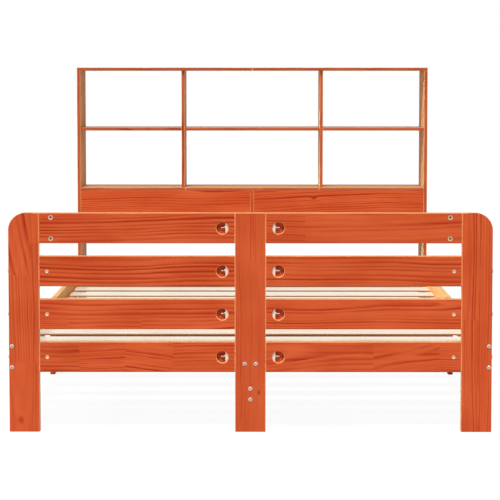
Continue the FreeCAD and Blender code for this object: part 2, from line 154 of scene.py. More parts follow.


# Colours
STAIN = ink(205, 83, 40)
STAIN_DARK = ink(168, 46, 14)
STAIN_LIGHT = ink(217, 100, 56)
STAIN_RED = ink(196, 62, 30)
# Edge colours, paler from scuffing and carrying a painted highlight: facing up, then facing
# sideways
STAIN_WORN_AND_LIT = ink(255, 181, 118)
STAIN_RUBBED_AND_LIT = ink(255, 165, 112)
# Side rails' edge colour, which also carries painted light on their inner sides and upper faces
SIDE_WORN_AND_LIT = ink(255, 212, 138)
BOOK_STAIN = ink(197, 91, 54)
BOOK_DARK = ink(160, 56, 27)
BOOK_LIGHT = ink(208, 106, 67)
BOOK_RED = ink(188, 74, 43)
BARE_PINE = ink(226, 217, 197)
BARE_DARK = ink(210, 193, 165)
BARE_LIGHT = ink(232, 225, 208)
# Painted shade on the slats' front and back edges
BARE_SIDE_SHADE = ink(176, 120, 82)
BEECH = ink(214, 176, 128)
ZINC = ink(240, 216, 200)
ZINC_DARK = ink(176, 146, 128)
# Pale zinc: the crescent washers' colour, and the painted highlight on the shaded zinc
PALE_ZINC = ink(252, 240, 230)
PALE_ZINC_DARK = ink(226, 208, 194)
CAST_ZINC = ink(245, 211, 183)
CAST_ZINC_DARK = ink(214, 178, 148)
# Painted shade in the cams' sunk drive
DRIVE_SHADE = ink(182, 156, 128)

# A wood's colours: plain, dark, light, red, and the colour of scuffing and painted highlight;
# then how much sheen it has, and its tint
STAINED = (STAIN, STAIN_DARK, STAIN_LIGHT, STAIN_RED, STAIN_WORN_AND_LIT, 0.8, ink(255, 226, 150))
SIDE_STAINED_AND_LIT = (*STAINED[:4], SIDE_WORN_AND_LIT, *STAINED[5:])
BOOK_STAINED = (BOOK_STAIN, BOOK_DARK, BOOK_LIGHT, BOOK_RED, *STAINED[4:])
BARE = (BARE_PINE, BARE_DARK, BARE_LIGHT, BARE_PINE, BARE_LIGHT, 0.2, ink(255, 240, 220))
PEG = (BEECH, shade(BEECH, 0.8), BEECH, BEECH, BEECH, 0.2, ink(255, 240, 220))

# Boards in the bookcase's browner stain
BOOKCASE_BOARDS = ("bookcase_side", "top_board", "divider", "low_shelf", "mid_shelf")


class Value:
    """One value in a shader: arithmetic on it adds the Math nodes that work it out."""

    def __init__(self, sheet, socket):
        self.sheet = sheet
        self.socket = socket

    def other(self, output):
        """Another output of the node that this value comes from."""
        return Value(self.sheet, self.socket.node.outputs[output])

    def math(self, operation, *others):
        """Any other Math node on this value."""
        return self.sheet.math(operation, self, *others)

    def __add__(self, other):
        return self.sheet.math("ADD", self, other)

    def __radd__(self, other):
        return self.sheet.math("ADD", other, self)

    def __sub__(self, other):
        return self.sheet.math("SUBTRACT", self, other)

    def __rsub__(self, other):
        return self.sheet.math("SUBTRACT", other, self)

    def __mul__(self, other):
        return self.sheet.math("MULTIPLY", self, other)

    def __rmul__(self, other):
        return self.sheet.math("MULTIPLY", other, self)

    def __truediv__(self, other):
        return self.sheet.math("DIVIDE", self, other)

    def __rtruediv__(self, other):
        return self.sheet.math("DIVIDE", other, self)

    def __pow__(self, other):
        return self.sheet.math("POWER", self, other)

    def __rpow__(self, other):
        return self.sheet.math("POWER", other, self)


class Sheet:
    """The nodes of a material or of the world, with a short way to add each kind."""

    def __init__(self, holder):
        holder.use_nodes = True
        self.holder = holder
        self.tree = holder.node_tree
        self.tree.nodes.clear()

    def node(self, kind, settings, values, output=0):
        """Adds one node: its settings first, then its sockets; gives one output, if any."""
        made = self.tree.nodes.new(kind)
        for setting, choice in settings.items():
            if setting == "stops":
                self.stops(made.color_ramp.elements, choice)
            else:
                setattr(made, setting, choice)
        for socket, value in values.items():
            if isinstance(value, Value):
                self.tree.links.new(value.socket, made.inputs[socket])
            else:
                made.inputs[socket].default_value = value
        return Value(self, made.outputs[output]) if len(made.outputs) else None

    def stops(self, elements, stops):
        """Sets a ramp's stops: place and colour of each."""
        while len(elements) < len(stops):
            elements.new(1.0)
        for element, (place, colour) in zip(elements, stops):
            element.position = place
            element.color = colour

    def math(self, operation, *values):
        """A Math node on values and numbers."""
        return self.node("ShaderNodeMath", {"operation": operation}, dict(enumerate(values)))

    def clamp(self, value):
        """The value held between 0 and 1."""
        return self.node("ShaderNodeClamp", {}, {0: value})

    def mix(self, amount, first, second):
        """A colour between two, by an amount from 0 to 1."""
        return self.node("ShaderNodeMix", {"data_type": "RGBA"},
                         {0: amount, 6: first, 7: second}, 2)

    def dim(self, colour, amount):
        """A colour made brighter or darker by a factor."""
        return self.node("ShaderNodeVectorMath", {"operation": "SCALE"}, {0: colour, 3: amount})

    def vector(self, x, y, z):
        """Three values as one vector."""
        return self.node("ShaderNodeCombineXYZ", {}, {0: x, 1: y, 2: z})

    def split(self, vector):
        """A vector's three values."""
        first = self.node("ShaderNodeSeparateXYZ", {}, {0: vector})
        return first, first.other(1), first.other(2)

    def place(self):
        """Where the shaded point is on the bed, in metres."""
        return self.split(self.node("ShaderNodeTexCoord", {}, {}, "Object"))

    def noise(self, vector, scale, detail, rough=0.5):
        """Smooth noise, about 0.5 on average."""
        return self.node("ShaderNodeTexNoise", {}, {"Vector": vector, "Scale": scale,
                                                    "Detail": detail, "Roughness": rough})

    def luck(self, number):
        """Three even random numbers for each whole number."""
        return self.split(self.node("ShaderNodeTexWhiteNoise", {"noise_dimensions": "1D"},
                                    {"W": number}, "Color"))

    def facing(self):
        """How far the surface faces to +X, +Y and +Z, each from -1 to 1."""
        return self.split(self.node("ShaderNodeNewGeometry", {}, {}, "Normal"))

    def seen(self):
        """1 for what the camera sees, straight or in metal or glass, and 0 for other light."""
        path = self.node("ShaderNodeLightPath", {}, {})
        mirrored = path.math("MAXIMUM", path.other("Is Glossy Ray"))
        return mirrored.math("MAXIMUM", path.other("Is Transmission Ray"))

    def finish(self, values):
        """Principled surface with the given sockets, as the material's output."""
        shader = self.node("ShaderNodeBsdfPrincipled", {}, values)
        self.node("ShaderNodeOutputMaterial", {}, {"Surface": shader})
        return self.holder


def pick_axes(grain, size):
    """Indices of the grain, the board's wider cross side and its thinner one."""
    along = "xyz".index(grain)
    wide, thin = sorted((i for i in range(3) if i != along), key=lambda i: -size[i])
    return along, wide, thin


def sawn(seed, starts):
    """A strip's lengths drawn by chance: start, heart across and deep, ring, lean and tone."""
    chance = np.random.default_rng(seed)
    low = np.array((-0.09, 0.022, 0.0065, -0.04, 0.96))
    high = np.array((0.09, 0.060, 0.0110, 0.04, 1.03))
    return [(start, *(low + (high - low) * chance.random(5)).round(4).tolist())
            for start in (START, *starts)]


def along_strip(run, rows):
    """One glued strip's values: each row's take over where its length starts."""
    held = list(rows[0][1:])
    for before, row in zip(rows, rows[1:]):
        started = run.math("GREATER_THAN", row[0])
        for place, (old, new) in enumerate(zip(before[1:], row[1:])):
            if old != new:
                held[place] = started * (new - old) + held[place]
    return held


class Board:
    """A point on one board: its place along, across and deep, and how the surface faces."""

    def __init__(self, name, grain, low, high, seed):
        self.sheet = Sheet(bpy.data.materials.new(name))
        self.seed = seed
        along, wide, thin = pick_axes(grain, high - low)
        middle = (low + high) / 2
        self.spot = self.sheet.place()
        self.run = self.spot[along]
        self.from_middle = self.run - middle[along]
        self.over = self.spot[wide]
        self.across = self.over - middle[wide]
        self.depth = self.spot[thin] - middle[thin]
        signed = self.sheet.facing()
        plain = [part.math("ABSOLUTE") for part in signed]
        self.flat = plain[0].math("MAXIMUM", plain[1]).math("MAXIMUM", plain[2])
        self.rightward, self.upward = signed[0], signed[2]
        self.endward, self.sideward = plain[along], plain[wide]

    def on_face(self, facing):
        """1 on a face that looks that way, and 0 on the others and most of the eased edges."""
        return self.sheet.clamp((facing - 0.8) * 5)

    def noise(self, lengthwise, crosswise, shift, detail, rough=0.5):
        """Noise drawn out along the grain."""
        place = self.sheet.vector(self.run * lengthwise, self.across * crosswise,
                                  self.depth * crosswise + shift)
        return self.sheet.noise(place, 1.0, detail, rough)

    def gap_to(self, run, across, stretch=1.0):
        """Distance from a place on the board's face; a stretch makes it shorter lengthwise."""
        return (((self.run - run) / stretch) ** 2 + (self.across - across) ** 2) ** 0.5

    def own_heart(self, strips, split):
        """Heart, ring width, lean and tone of the finger-jointed length that a point is in."""
        run = self.run
        if max(map(len, strips)) > 1:
            run = run + (self.depth / FINGER_WIDTH).math("PINGPONG", 1.0) * FINGER_LENGTH
        held = along_strip(run, strips[0])
        if len(strips) > 1:
            upper = self.across.math("GREATER_THAN", split)
            held = [upper * (new - old) + old
                    for old, new in zip(held, along_strip(run, strips[1]))]
        return held

    def slat_heart(self):
        """The same for a slat, drawn by its number; across is then counted from its middle."""
        number = ((self.over - SLAT_FIRST) / SLAT_PITCH).math("FLOOR")
        self.across = self.over - SLAT_FIRST - number * SLAT_PITCH - SLAT_WIDTH / 2
        first, second, third = self.sheet.luck(number * 3.7 + self.seed)
        return ((first - 0.5) * 0.16, second * 0.05 + 0.02, third * 0.004 + 0.005, 0.0,
                (third - 0.5) * 0.08 + 1)


def growth(board, heart, knots):
    """How dark a point's part of the year is, how strong that year, and how knotty the place.

    The ring number is the distance from the heart line over the ring width. The heart leans
    and wanders along the grain, which draws the arches, and the rings swell round each knot.
    """
    sheet, seed = board.sheet, board.seed
    heart_across, heart_depth, ring, lean, _ = heart
    bend = sheet.noise(sheet.vector(board.run * 1.6, heart_across * 40, seed * 1.7), 1.0, 1.0)
    dip = sheet.noise(sheet.vector(board.run * 2.2, heart_across * 40, seed * 2.3 + 9), 1.0, 1.0)
    gap_across = board.across - board.from_middle * lean - heart_across
    gap_across = gap_across - (bend - 0.5) * HEART_BEND
    gap_deep = board.depth + heart_depth + (dip - 0.5) * HEART_DIP
    ripple = board.noise(6, 34, seed, 3.0)
    reach = (gap_across ** 2 + gap_deep ** 2) ** 0.5 + (ripple - 0.5) * RING_RIPPLE
    knotty = 0.0
    for run, across, radius in knots:
        gap = board.gap_to(run, across, 1.5)
        reach = reach + (gap / -radius * 1.1).math("EXPONENT") * radius * 2.5
        knotty = sheet.clamp((radius - gap) / radius * 1.6) + knotty
    uneven = sheet.noise(sheet.vector(reach * 60, heart_across * 40, board.run * 0.6 + seed),
                         1.0, 2.0)
    years = (reach + (uneven - 0.5) * YEAR_UNEVEN) / ring
    force = sheet.luck(years.math("FLOOR"))[0] ** 1.6 * 1.3 + 0.3
    stops = [(place, (dark, dark, dark, 1)) for place, dark in YEAR]
    late = sheet.node("ShaderNodeValToRGB", {"stops": stops}, {0: years.math("FRACT")})
    return late, force, knotty


def paler_parts(board, paint, worn_and_lit, painted_side_light, pocket, pale_ends):
    """Painted light on one side, a painted highlight on a pocket's rim and painted light on its
    lower ground, and pale lines of scuffing and painted highlight at board joints.
    """
    sheet = board.sheet
    # Painted light on one side: the side rails' inner faces, as if lit from the left
    if painted_side_light:
        faced = sheet.clamp(board.rightward * painted_side_light * 5 - 4)
        paint = sheet.mix(faced * abs(painted_side_light) * 0.4, paint, worn_and_lit)
    if pocket:
        gap = board.gap_to(pocket, 0.0)
        # Painted highlight on the pocket's eased rim
        rim = sheet.clamp((gap - RIM_INNER) * 4000) * sheet.clamp((RIM_OUTER - gap) * 5000)
        paint = sheet.mix(rim * sheet.clamp((1 - board.flat) * 8) * 0.6, paint, worn_and_lit)
        # Painted light on the lower half of the pocket's ground
        low = sheet.clamp((GROUND_EDGE - gap) * 2000) * sheet.clamp(board.across * -250)
        paint = sheet.mix(low * 0.5, paint, BOOK_LIGHT)
    # Pale line at a board joint: scuffing and a painted highlight
    for end_run in pale_ends:
        gone = (board.run - end_run).math("ABSOLUTE")
        paint = sheet.mix(sheet.clamp((JOINT_PALE - gone) * 2500) * 0.8, paint, worn_and_lit)
    return paint


def pine(name, grain, low, high, seed, palette, strips=None, split=0.0, knots=(), tone=1.0,
         force=1.0, redness=0.6, edge_wear_and_light=1.0, end_shade=0.8, painted_side_shade=None, worn_lit_within=None,
         painted_side_light=None, pale_ends=(), painted_top_light=0.7, pocket=None):
    """Sawn pine, stained or bare: growth rings cut by the board's faces, and edges paler from
    scuffing and a painted highlight.

    Each finger-jointed length of each glued strip has its own heart, ring width and tone;
    without strips the boards are the slats, and each has its own. Painted light may be laid on
    the side towards +X or -X and on upper faces, a painted highlight on a pocket's rim with
    painted light on its lower ground, and a pale line of scuffing and painted highlight at the
    ends named; the edges' scuffing and painted highlight may stay within a distance of the
    bed's middle.
    """
    board = Board(name, grain, low, high, seed)
    sheet, upward = board.sheet, board.upward
    plain, dark, light, red, worn_and_lit, sheen, sheen_tint = palette
    heart = board.own_heart(strips, split) if strips else board.slat_heart()
    late, year_force, knotty = growth(board, heart, knots)
    streak = board.noise(1.8, 55, seed, 4.0, 0.62)
    blush = board.noise(3, 26, seed + 4, 2.0)
    cloud = board.noise(5, 9, seed, 2.0)
    fine = board.noise(9, 240, seed, 3.0, 0.6)
    fibre = board.noise(24, 760, 0, 2.0)
    paint = sheet.mix(sheet.clamp((cloud - 0.3) * 1.8), plain, light)
    paint = sheet.mix(sheet.clamp((blush - 0.5) * 3) * redness, paint, red)
    streaky = sheet.clamp((streak - 0.36) * 3.6) * 0.8 + 0.2
    drawn = sheet.clamp(late * streaky * year_force * force)
    paint = sheet.mix(drawn, paint, dark)
    if knots:
        paint = sheet.mix(knotty * 0.6, paint, shade(dark, 0.7))
    level = heart[4] * tone + (cloud - 0.5) * 0.14 + (fine - 0.5) * 0.32 + (fibre - 0.5) * 0.10
    level = level * (1 - board.on_face(board.endward) * (1 - end_shade))
    # Painted shade: faces that look down are darker
    level = level * (1 - sheet.clamp(upward * -1.2 - 0.1) * 0.3)
    paint = sheet.dim(paint, level)
    # Painted shade on the slats' front and back edges, which the boards ahead keep from the light
    if painted_side_shade:
        paint = sheet.mix(board.on_face(board.sideward) * 0.9, paint, painted_side_shade)
    # Painted highlight on the upper faces of stained boards, standing for light from above
    if strips:
        pale = sheet.dim(worn_and_lit[:3], 1.04 - drawn * 0.22 + (fine - 0.5) * 0.2)
        paint = sheet.mix(board.on_face(upward) * painted_top_light, paint, pale)
    paint = paler_parts(board, paint, worn_and_lit, painted_side_light, pocket, pale_ends)
    # Eased edges: paler from scuffing and a painted highlight, strongest facing up and none facing
    # down
    edge = sheet.clamp((1 - board.flat) * 14 - 0.8 - sheet.clamp(upward))
    edge = edge * sheet.clamp(upward * 2 + 1) * edge_wear_and_light
    if worn_lit_within:
        inside = (board.spot[0].math("ABSOLUTE") / -worn_lit_within + 1).math("SIGN")
        edge = edge * inside.math("MAXIMUM", 0.0)
    rub = sheet.noise(sheet.vector(*board.spot), 30.0, 3.0)
    side_edge = STAIN_RUBBED_AND_LIT if palette is STAINED else worn_and_lit
    worn_lit_edge = sheet.mix(sheet.clamp(upward * 2), side_edge, worn_and_lit)
    paint = sheet.mix(edge * sheet.clamp(rub * 1.8 + 0.1), paint, worn_lit_edge)
    relief = late * 0.5 + fibre * 0.8 + rub * 0.2
    bump = sheet.node("ShaderNodeBump", {},
                      {"Strength": 0.35, "Distance": 0.0004, "Height": relief})
    return sheet.finish({"Base Color": paint, "Roughness": 0.56 - late * 0.1 + (fibre - 0.5) * 0.14,
                         "IOR": 1.2, "Specular IOR Level": 0.4, "Sheen Weight": sheen,
                         "Sheen Roughness": 0.4, "Sheen Tint": sheen_tint, "Normal": bump})


def steel(name, plain, dark, seed, metal, rough, top=None):
    """Plated steel: cloudy plating with fine turning marks, and, when given, a painted highlight on
    the upper side.
    """
    sheet = Sheet(bpy.data.materials.new(name))
    spot = sheet.node("ShaderNodeTexCoord", {}, {}, "Object")
    cloud = sheet.noise(spot, 260.0 + seed, 3.0)
    grit = sheet.noise(spot, 2600.0, 2.0)
    paint = sheet.mix(sheet.clamp((cloud - 0.35) * 2.2), dark, plain)
    # Painted highlight on the upper side
    if top:
        paint = sheet.mix(sheet.clamp(sheet.facing()[2] * 3 - 0.4), paint, top)
    bump = sheet.node("ShaderNodeBump", {}, {"Strength": 0.2, "Distance": 0.0001,
                                             "Height": cloud * 0.4 + grit * 0.6})
    return sheet.finish({"Base Color": paint, "Metallic": metal,
                         "Roughness": rough + (cloud - 0.5) * 0.2 + (grit - 0.5) * 0.1,
                         "Normal": bump})


# The foot board's and aprons' own figure: where their two glued strips meet, then each strip's
# lengths as start, heart across and deep, ring width, lean and tone
FIGURES = {
    "foot_post_left": (0.022, (
        ((START, 0.00, 0.060, 0.0100, 0.02, 0.99), (0.214, -0.10, 0.040, 0.0080, 0.0, 1.0),
         (0.480, -0.07, 0.040, 0.0200, -0.19, 1.01)),
        ((START, 0.10, 0.040, 0.0090, 0.0, 0.98), (0.214, 0.12, 0.040, 0.0070, 0.0, 0.97),
         (0.577, 0.07, 0.050, 0.0120, -0.10, 1.01)))),
    "foot_post_centre": (0.0, (
        ((START, -0.14, 0.030, 0.0080, 0.02, 0.97), (0.150, -0.15, 0.040, 0.0075, 0.0, 0.97),
         (0.520, -0.14, 0.030, 0.0085, 0.01, 0.99)),)),
    "foot_post_right": (0.004, (
        ((START, -0.12, 0.030, 0.0085, 0.0, 0.99), (0.345, -0.028, 0.022, 0.0080, -0.03, 1.0)),
        ((START, 0.12, 0.040, 0.0090, 0.0, 1.0),))),
    "foot_rail_left_1": (0.0, (((START, 0.080, 0.045, 0.0100, 0.0, 1.0),),)),
    "foot_rail_left_2": (0.0, (((START, 0.085, 0.050, 0.0125, 0.0, 0.98),),)),
    "foot_rail_left_3": (-0.006, (
        ((START, -0.10, 0.030, 0.0070, 0.0, 1.0), (-0.542, -0.12, 0.050, 0.0120, 0.0, 1.02),
         (-0.323, -0.11, 0.050, 0.0110, 0.02, 1.01)),
        ((START, 0.10, 0.040, 0.0130, 0.0, 1.0),))),
    "foot_rail_left_4": (0.0, (
        ((START, 0.09, 0.060, 0.0130, 0.0, 0.97), (-0.512, -0.09, 0.030, 0.0060, 0.04, 1.0),
         (-0.374, 0.05, 0.024, 0.0120, -0.14, 1.02), (-0.229, -0.09, 0.030, 0.0110, 0.03, 1.0)),)),
    "foot_rail_right_1": (0.0, (
        ((START, -0.10, 0.030, 0.0080, 0.0, 0.98), (0.169, 0.05, 0.030, 0.0160, 0.02, 0.99)),)),
    "foot_rail_right_2": (0.0, (((START, 0.09, 0.050, 0.0115, 0.0, 0.98),),)),
    "foot_rail_right_3": (0.0, (((START, 0.03, 0.036, 0.0095, -0.02, 1.02),),)),
    "foot_rail_right_4": (0.0, (
        ((START, 0.02, 0.060, 0.0085, 0.02, 1.0), (0.375, -0.02, 0.040, 0.0100, 0.18, 1.0),
         (0.574, -0.08, 0.030, 0.0080, -0.03, 1.0)),)),
    "apron_front_left": (0.0, (((START, 0.07, 0.040, 0.0085, 0.0, 1.09),),)),
    "apron_front_right": (0.0, (((START, -0.09, 0.040, 0.0080, 0.03, 1.07),),)),
}

# Grain direction, seed, finger joints along the grain, knots (along, across, radius), tone
BOARDS = {
    "foot_post_left": ("z", 3, (), ((0.036, -0.012, 0.008),), 1.0),
    "foot_post_centre": ("z", 11, (), ((0.120, 0.026, 0.007),), 0.97),
    "foot_post_right": ("z", 17, (), (), 1.0),
    "foot_rail_left_1": ("x", 21, (), (), 1.0),
    "foot_rail_left_2": ("x", 24, (), (), 1.0),
    "foot_rail_left_3": ("x", 27, (), (), 1.0),
    "foot_rail_left_4": ("x", 31, (), (), 1.0),
    "foot_rail_right_1": ("x", 35, (), (), 1.0),
    "foot_rail_right_2": ("x", 38, (), (), 1.0),
    "foot_rail_right_3": ("x", 42, (), (), 1.0),
    "foot_rail_right_4": ("x", 46, (), (), 1.0),
    "side_rail_left_front": ("y", 51, (-0.62,), (), 1.0),
    "side_rail_left_rear": ("y", 53, (0.45,), (), 1.0),
    "side_rail_right_front": ("y", 55, (-0.40,), (), 1.0),
    "side_rail_right_rear": ("y", 57, (0.30,), (), 1.0),
    "middle_leg_left": ("z", 61, (), (), 1.0),
    "middle_leg_right": ("z", 63, (), (), 1.0),
    "centre_leg": ("z", 65, (), (), 1.0),
    "centre_beam_front": ("y", 67, (-0.5,), (), 1.0),
    "centre_beam_rear": ("y", 69, (0.4,), (), 1.0),
    "stretcher_front": ("y", 71, (), (), 1.0),
    "stretcher_rear": ("y", 73, (), (), 1.0),
    "cross_rail_left": ("x", 75, (), (), 1.0),
    "cross_rail_right": ("x", 77, (), (), 1.0),
    "bookcase_side_left": ("z", 79, (0.46,), ((0.82, 0.03, 0.008),), 0.96),
    "bookcase_side_right": ("z", 81, (0.70,), ((0.31, -0.04, 0.008),), 0.96),
    "top_board_left": ("x", 83, (-0.41,), (), 0.9),
    "top_board_right": ("x", 85, (0.36,), (), 0.9),
    "divider_left": ("z", 87, (), (), 0.96),
    "divider_right": ("z", 89, (), (), 0.96),
    "low_shelf_left": ("x", 91, (), (), 1.0),
    "low_shelf_centre": ("x", 93, (0.05,), (), 1.0),
    "low_shelf_right": ("x", 95, (), (), 1.0),
    "mid_shelf_left": ("x", 97, (), (), 1.0),
    "mid_shelf_centre": ("x", 99, (-0.12,), (), 1.0),
    "mid_shelf_right": ("x", 101, (), (), 1.0),
    "apron_front_left": ("x", 103, (), (), 1.0),
    "apron_front_right": ("x", 105, (), ((0.257, 0.024, 0.007),), 1.0),
    "apron_back_left": ("x", 107, (-0.3,), (), 1.0),
    "apron_back_right": ("x", 109, (), (), 1.0),
    "head_rail_left": ("x", 111, (), (), 1.0),
    "head_rail_right": ("x", 113, (), (), 1.0),
    "head_post_front": ("z", 115, (), (), 1.0),
    "head_post_back": ("z", 117, (), (), 1.0),
}

# How strongly a board's rings and red clouds show, how much of its edges is scuffed and carries a
# painted highlight and how far out, which side carries painted light, and how much painted light
# its upper face has
MANNERS = {
    "foot_rail_left_1": {"force": 1.35, "redness": 1.0},
    "foot_rail_left_2": {"force": 1.7, "redness": 1.0},
    "foot_rail_left_3": {"force": 1.2, "redness": 0.9},
    "foot_rail_left_4": {"force": 1.4, "redness": 1.0},
    "foot_rail_right_1": {"force": 0.75, "redness": 0.4}, "foot_rail_right_2": {"redness": 0.4},
    "foot_rail_right_3": {"redness": 0.3},
    "foot_rail_right_4": {"force": 0.75}, "foot_post_centre": {"force": 0.5},
    "apron_front_left": {"edge_wear_and_light": 0.25}, "apron_front_right": {"edge_wear_and_light": 0.25},
    # Painted light on the side rails' inner sides, stronger on the right rails
    "side_rail_left_front": {"painted_side_light": 1.0}, "side_rail_left_rear": {"painted_side_light": 1.0},
    "side_rail_right_front": {"painted_side_light": -1.4}, "side_rail_right_rear": {"painted_side_light": -1.4},
    "foot_post_left": {"force": 0.95, "worn_lit_within": 0.652},
    "foot_post_right": {"force": 1.05, "worn_lit_within": 0.652},
    "top_board_left": {"force": 0.8}, "top_board_right": {"force": 0.8},
    # Painted light on the shelves' upper faces
    "low_shelf_left": {"painted_top_light": 0.95}, "low_shelf_centre": {"painted_top_light": 0.95},
    "low_shelf_right": {"painted_top_light": 0.95}, "mid_shelf_left": {"painted_top_light": 0.9},
    "mid_shelf_centre": {"painted_top_light": 0.9}, "mid_shelf_right": {"painted_top_light": 0.9},
}


def dress(node, material):
    """Gives a carried-over board its material."""
    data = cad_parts[node].data
    data.materials.clear()
    data.materials.append(material)


def box_of(node):
    """A node's lowest and highest corners, as arrays."""
    low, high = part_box(node)
    return np.array(low), np.array(high)


def stain_of(node):
    """A board's stain: on a side rail a yellower colour that carries painted light, browner on the
    bookcase.
    """
    if node.startswith("side_rail"):
        return SIDE_STAINED_AND_LIT
    return BOOK_STAINED if node.startswith(BOOKCASE_BOARDS) else STAINED


def dress_boards():
    """Every stained board in its own figure and stain, with scuffing and painted light."""
    for node, (grain, seed, starts, knots, tone) in BOARDS.items():
        low, high = box_of(node)
        split, strips = FIGURES.get(node, (0.0, (sawn(seed, starts),)))
        scuffs_and_light = dict(MANNERS.get(node, {}))
        if node.startswith(("low_shelf", "top_board")):
            scuffs_and_light["pale_ends"] = [end for end in (low[0], high[0]) if abs(end) < INNER_END]
        if node.startswith("foot_rail"):
            scuffs_and_light["pocket"] = math.copysign(POCKET_MIDDLE, low[0])
        dress(node, pine(node + "_pine", grain, low, high, seed, stain_of(node), strips, split,
                         knots, tone=tone, **scuffs_and_light))


def dress_slats():
    """The bare slats as boards of one slat's width, and the ledges and pegs."""
    low, high = box_of("slats")
    low[1], high[1] = 0.0, SLAT_WIDTH
    # The slats carry painted shade on their front and back edges
    dress("slats", pine("slat_boards", "x", low, high, 5, BARE, end_shade=0.7,
                        painted_side_shade=BARE_SIDE_SHADE))
    low, high = box_of("slat_ledges")
    dress("slat_ledges", pine("ledge_strips", "y", low, high, 121, STAINED, (sawn(121, ()),)))
    low, high = box_of("wooden_dowels")
    dress("wooden_dowels", pine("peg_beech", "x", low, high, 131, PEG, (sawn(131, ()),)))


def turn_to(direction):
    """Rotation that carries Z to a direction, as a 3 by 3 array of its columns."""
    return np.array(Vector((0, 0, 1)).rotation_difference(Vector(direction)).to_matrix())


def angles(count):
    """Even angles round a circle, from 0 up."""
    return np.arange(count) * 2 * math.pi / count


def circle(count, radius, height):
    """Points at the cosine and sine of even angles; a radius of zero gives one pole point."""
    if np.ndim(radius) == 0 and radius == 0:
        return np.array([[0.0, 0.0, height if np.ndim(height) == 0 else height[0]]])
    turn = angles(count)
    return np.stack([np.cos(turn) * radius, np.sin(turn) * radius, np.zeros(count) + height], 1)


def hexagon(count, half_flats):
    """Radius of a hexagon at each of the ring's angles: half its flats over a cosine."""
    turn = angles(count)
    return half_flats / np.cos((turn % (math.pi / 3)) - math.pi / 6)


def skin(rings):
    """Faces between successive rings, listed from the outer end of the form inwards."""
    faces = []
    start = 0
    for upper, lower in zip(rings, rings[1:]):
        below = start + len(upper)
        count = max(len(upper), len(lower))
        here = np.arange(count)
        after = (here + 1) % count
        if len(upper) == 1:
            faces += np.stack([here * 0 + start, below + here, below + after], 1).tolist()
        elif len(lower) == 1:
            faces += np.stack([start + here, here * 0 + below, start + after], 1).tolist()
        else:
            faces += np.stack([start + here, below + here, below + after, start + after],
                              1).tolist()
        start = below
    return faces


def copies(rings, seats):
    """The same form turned and moved to every seat: (place, outward direction)."""
    form = np.concatenate(rings)
    one = skin(rings)
    points = []
    faces = []
    for place, direction in seats:
        start = len(points) * len(form)
        points.append(form @ turn_to(direction).T + np.array(place))
        faces += [[start + corner for corner in face] for face in one]
    return np.concatenate(points), faces


def piece(name, points, faces, material, stands_for, sunk=None, shaded_copy=None):
    """A new part of the bed: its mesh, finish, body and the node that it stands for.

    Sunk gives how many of each copy's faces, and out of how many, take the second material, a
    darker copy painted as shade.
    """
    data = bpy.data.meshes.new(name)
    data.from_pydata(points.tolist(), [], faces)
    data.materials.append(material)
    if sunk:
        data.materials.append(shaded_copy)
        marks = np.arange(len(faces)) % sunk[1] < sunk[0]
        data.polygons.foreach_set("material_index", marks.astype(np.int32))
    data.polygons.foreach_set("use_smooth", np.ones(len(data.polygons), bool))
    data.set_sharp_from_angle(angle=math.radians(32))
    data.update()
    made = bpy.data.objects.new(name, data)
    bpy.context.scene.collection.objects.link(made)
    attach(made, "root")
    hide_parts(stands_for)


def thread(count, radius, start, end, pitch=0.00125, cut=0.0004):
    """Rings of a screw thread: the radius falls in a V as the turn and the length go on."""
    turn = np.arange(count) / count
    rows = np.arange(start, end, -pitch / 3)
    return [circle(count, radius - cut * np.abs(((row / pitch + turn) % 1) * 2 - 1), row)
            for row in rows]


def bolt_form(length):
    """Round head with a hexagon socket, over a shank that is threaded at its end."""
    count = 36
    crown = [(0.0035, 0.0026), (0.0050, 0.00228), (0.0060, 0.00162), (0.0066, 0.0009),
             (0.00675, 0.00055), (0.00675, 0.0001), (0.0066, 0.0)]
    socket = hexagon(count, 0.0020)
    rings = [circle(count, 0.0, 0.0006), circle(count, socket * 0.98, 0.0008),
             circle(count, socket, 0.0022), circle(count, socket * 1.10, 0.0026)]
    rings += [circle(count, radius, rise) for radius, rise in crown]
    rings += [circle(count, ROD_RADIUS, 0.0), circle(count, ROD_RADIUS, -length + 0.014)]
    rings += thread(count, ROD_RADIUS, -length + 0.0135, -length + 0.0012)
    rings += [circle(count, 0.0024, -length), circle(count, 0.0, -length)]
    return rings


def barrel_form():
    """Cross nut: a turned plug with a dished face, a chamfered rim and a screwdriver slot."""
    count = 32
    rings = [circle(count, 0.0, -0.0026)]
    turn = angles(count)
    for radius in (0.0010, 0.0020, 0.0030, 0.0040, 0.0048):
        dish = -0.0016 * (1 - (radius / 0.0050) ** 2)
        inside = (np.abs(np.sin(turn)) * radius < 0.0007) & (radius < 0.0045)
        rings.append(circle(count, radius, np.where(inside, -0.0026, dish)))
    rings += [circle(count, 0.0053, 0.0), circle(count, 0.0056, -0.0001),
              circle(count, NUT_RADIUS, -0.0006),
              circle(count, NUT_RADIUS, -NUT_LENGTH + 0.0006),
              circle(count, 0.0054, -NUT_LENGTH), circle(count, 0.0, -NUT_LENGTH)]
    return rings


def cross_depth(count, radius, half_arm, reach, depth):
    """Depth of a cross-shaped recess under each point of a ring, sloping at its arms' sides."""
    turn = angles(count)
    near = np.minimum(np.abs(np.cos(turn)), np.abs(np.sin(turn))) * radius
    share = np.clip((half_arm - near) / (half_arm * 0.4), 0, 1) if radius < reach else 0
    return -depth * share


